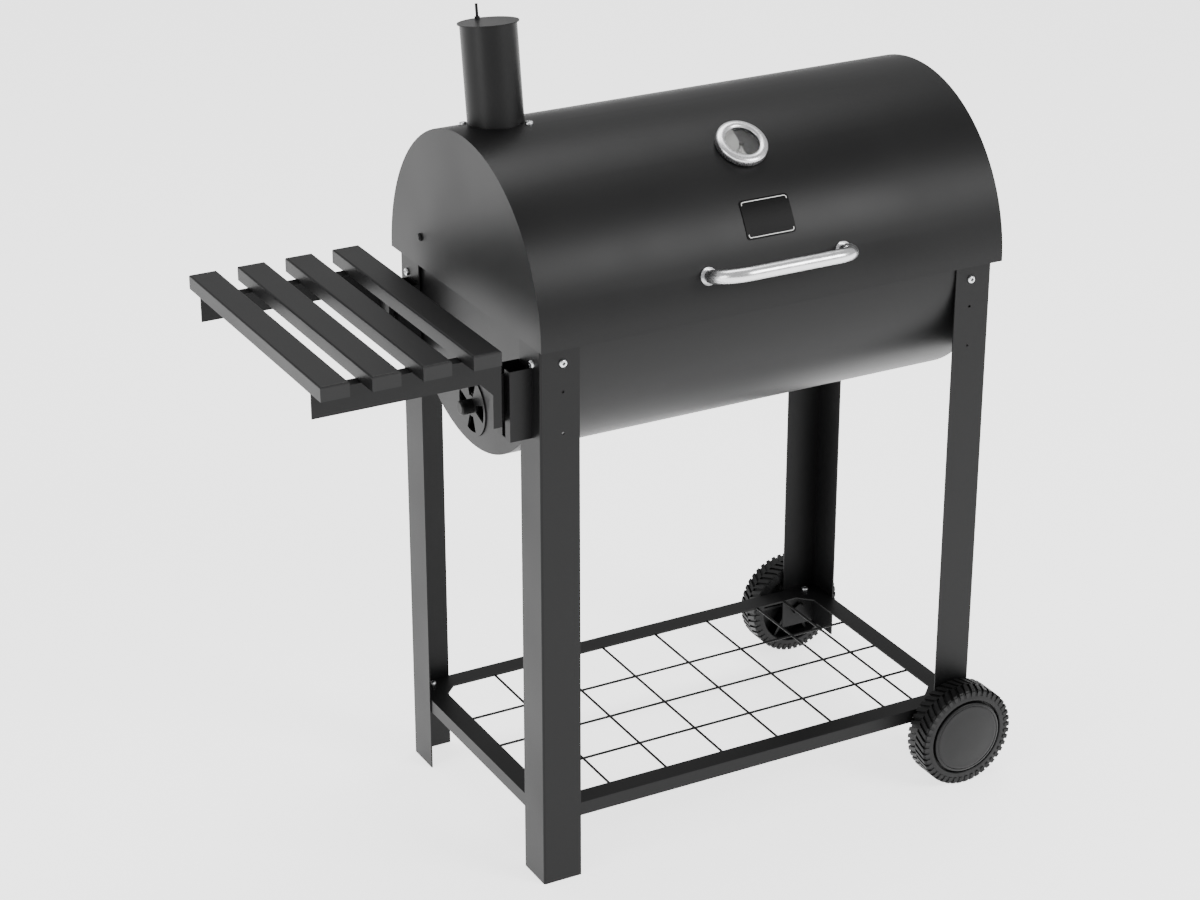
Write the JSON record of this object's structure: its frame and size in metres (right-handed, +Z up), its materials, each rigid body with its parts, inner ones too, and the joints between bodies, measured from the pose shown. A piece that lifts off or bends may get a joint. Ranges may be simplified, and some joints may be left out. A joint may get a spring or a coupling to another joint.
{
  "type": "barrel charcoal grill",
  "caption": "Barrel charcoal grill on a wheeled cart, with a hinged half-round lid, chimney with damper, side shelf, bottom shelf, grates and air vent.",
  "frame": {"origin": "on the floor, under the middle of the whole object's box", "axes": "+Z up, -Y towards the front where the handle is, +X along the barrel towards the wheeled end"},
  "size_m": [1.0512, 0.5362, 1.1691],
  "materials": {
    "cart_paint": "satin black powder coat",
    "barrel_paint": "satin black heat-resistant paint",
    "zinc": "bright zinc plate",
    "stainless": "brushed stainless",
    "grate_chrome": "plated wire",
    "fire_iron": "bare dark steel",
    "wheel_plastic": "moulded dark plastic",
    "cap_plastic": "moulded dark plastic",
    "knob_plastic": "moulded black plastic",
    "dial_face": "printed enamel",
    "dial_glass": "clear",
    "needle_red": "satin",
    "plate_black": "gloss black enamel"
  },
  "bodies": {
    "cart": {"axles": "zinc", "bowl_end_left": "barrel_paint", "bowl_end_right": "barrel_paint", "bowl_shell": "barrel_paint", "bowl_spacers": "zinc", "charcoal_grate": "fire_iron", "cooking_grate_left": "grate_chrome", "cooking_grate_right": "grate_chrome", "grate_centre_bar": "barrel_paint", "grate_ledges": "barrel_paint", "hinge_leaves_bowl": "barrel_paint", "hinge_pins": "zinc", "leg_bolts": "zinc", "leg_front_left": "cart_paint", "leg_front_right": "cart_paint", "leg_rear_left": "cart_paint", "leg_rear_right": "cart_paint", "receiver_rivets": "zinc", "shelf_bolts": "zinc", "shelf_rail_front": "cart_paint", "shelf_rail_left": "cart_paint", "shelf_rail_rear": "cart_paint", "shelf_rail_right": "cart_paint", "shelf_receiver_front": "cart_paint", "shelf_receiver_rear": "cart_paint", "shelf_wires": "cart_paint"},
    "lid": {"lid_shell": "barrel_paint", "lid_end_left": "barrel_paint", "lid_end_right": "barrel_paint", "handle_tube": "stainless", "handle_feet": "stainless", "handle_screws": "zinc", "thermometer_case": "stainless", "thermometer_dial": "dial_face", "thermometer_window": "dial_glass", "thermometer_stem": "stainless", "thermometer_nut": "zinc", "name_plate": "plate_black", "chimney_pipe": "barrel_paint", "chimney_flange": "barrel_paint", "chimney_bolts": "zinc", "damper_screw": "zinc", "hinge_leaves_lid": "barrel_paint", "rack_bolts": "zinc"},
    "needle": {"thermometer_needle": "needle_red"},
    "damper": {"damper_disc": "barrel_paint"},
    "rack": {"warming_rack": "grate_chrome", "rack_cheeks": "grate_chrome"},
    "vent": {"vent_disc": "barrel_paint", "vent_knob": "knob_plastic"},
    "front_wheel": {"wheel_front": "wheel_plastic", "wheel_cap_front": "cap_plastic"},
    "rear_wheel": {"wheel_rear": "wheel_plastic", "wheel_cap_rear": "cap_plastic"},
    "side_shelf": {"shelf_slat_1": "cart_paint", "shelf_slat_2": "cart_paint", "shelf_slat_3": "cart_paint", "shelf_slat_4": "cart_paint", "shelf_arm_front": "cart_paint", "shelf_arm_rear": "cart_paint"}
  },
  "joints": [
    {"name": "lid_hinge", "type": "hinge", "parent": "cart", "child": "lid", "pos_m": [0.13012, 0.24258, 0.799], "axis": [-1, 0, 0], "range_deg": [0, 95]},
    {"name": "thermometer_needle_turn", "type": "hinge", "parent": "lid", "child": "needle", "pos_m": [0.12612, -0.11777, 0.9924], "axis": [0, 0.5373, -0.8434], "range_deg": [0, 270]},
    {"name": "chimney_damper_swing", "type": "hinge", "parent": "lid", "child": "damper", "pos_m": [-0.15687, 0.08746, 1.14707], "axis": [0, 0.1392, 0.9903], "range_deg": [0, 150]},
    {"name": "warming_rack_level", "type": "hinge", "parent": "lid", "child": "rack", "pos_m": [0.13012, 0.13608, 0.8415], "axis": [-1, 0, 0], "range_deg": [-95, 0]},
    {"name": "air_vent_turn", "type": "hinge", "parent": "cart", "child": "vent", "pos_m": [-0.21388, 0.00608, 0.64], "axis": [-1, 0, 0], "range_deg": [0, 45]},
    {"name": "front_wheel_spin", "type": "hinge", "parent": "cart", "child": "front_wheel", "pos_m": [0.44962, 0.00608, 0.076], "axis": [0, 1, 0], "continuous": true},
    {"name": "rear_wheel_spin", "type": "hinge", "parent": "cart", "child": "rear_wheel", "pos_m": [0.44962, 0.00608, 0.076], "axis": [0, 1, 0], "continuous": true},
    {"name": "side_shelf_lift", "type": "slide", "parent": "cart", "child": "side_shelf", "axis": [0, 0, 1], "range_m": [0, 0.12]}
  ],
  "couplings": [
    {"joint": "warming_rack_level", "follows": "lid_hinge", "ratio": -1}
  ]
}
